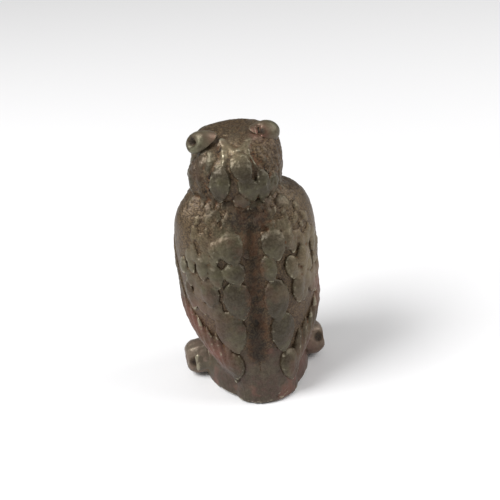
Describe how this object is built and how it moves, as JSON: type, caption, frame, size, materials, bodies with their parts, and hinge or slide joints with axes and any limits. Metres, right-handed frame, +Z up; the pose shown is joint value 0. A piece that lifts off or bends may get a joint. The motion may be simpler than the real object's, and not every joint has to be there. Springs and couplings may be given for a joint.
{
  "type": "owl figurine",
  "caption": "Small hollow-cast bronze owl perched upright on a round branch, wings folded, tail resting on the ground behind a low mound.",
  "frame": {"origin": "under the middle of the object's box, on the surface it stands on", "axes": "+Z up, -Y the way the owl faces, +X the owl's left side"},
  "size_m": [0.0376, 0.0322, 0.0705],
  "materials": {
    "patinated_bronze": "dark olive-brown patina, worn on high feathers, rust-red and ochre in the hollows, semi-gloss",
    "eye_glass": "polished amber glass with a black pupil behind",
    "raw_brass": "turned and dulled",
    "steel_fixings": "plain steel, dulled"
  },
  "bodies": {
    "root": {"base_mound": "patinated_bronze", "base_plate": "raw_brass", "base_screws": "steel_fixings", "beak": "patinated_bronze", "body_shell": "patinated_bronze", "head_shell": "patinated_bronze", "left_ear_tuft": "patinated_bronze", "left_eye": "eye_glass", "left_eye_rim": "patinated_bronze", "left_foot": "patinated_bronze", "left_log_end": "patinated_bronze", "left_thigh": "patinated_bronze", "left_wing": "patinated_bronze", "perch_log": "patinated_bronze", "right_ear_tuft": "patinated_bronze", "right_eye": "eye_glass", "right_eye_rim": "patinated_bronze", "right_foot": "patinated_bronze", "right_log_end": "patinated_bronze", "right_thigh": "patinated_bronze", "right_wing": "patinated_bronze", "rod_nut": "steel_fixings", "rod_washer": "steel_fixings", "tail_fan": "patinated_bronze", "tail_pins": "raw_brass", "tie_rod": "steel_fixings", "wing_pins": "raw_brass"}
  },
  "joints": []
}
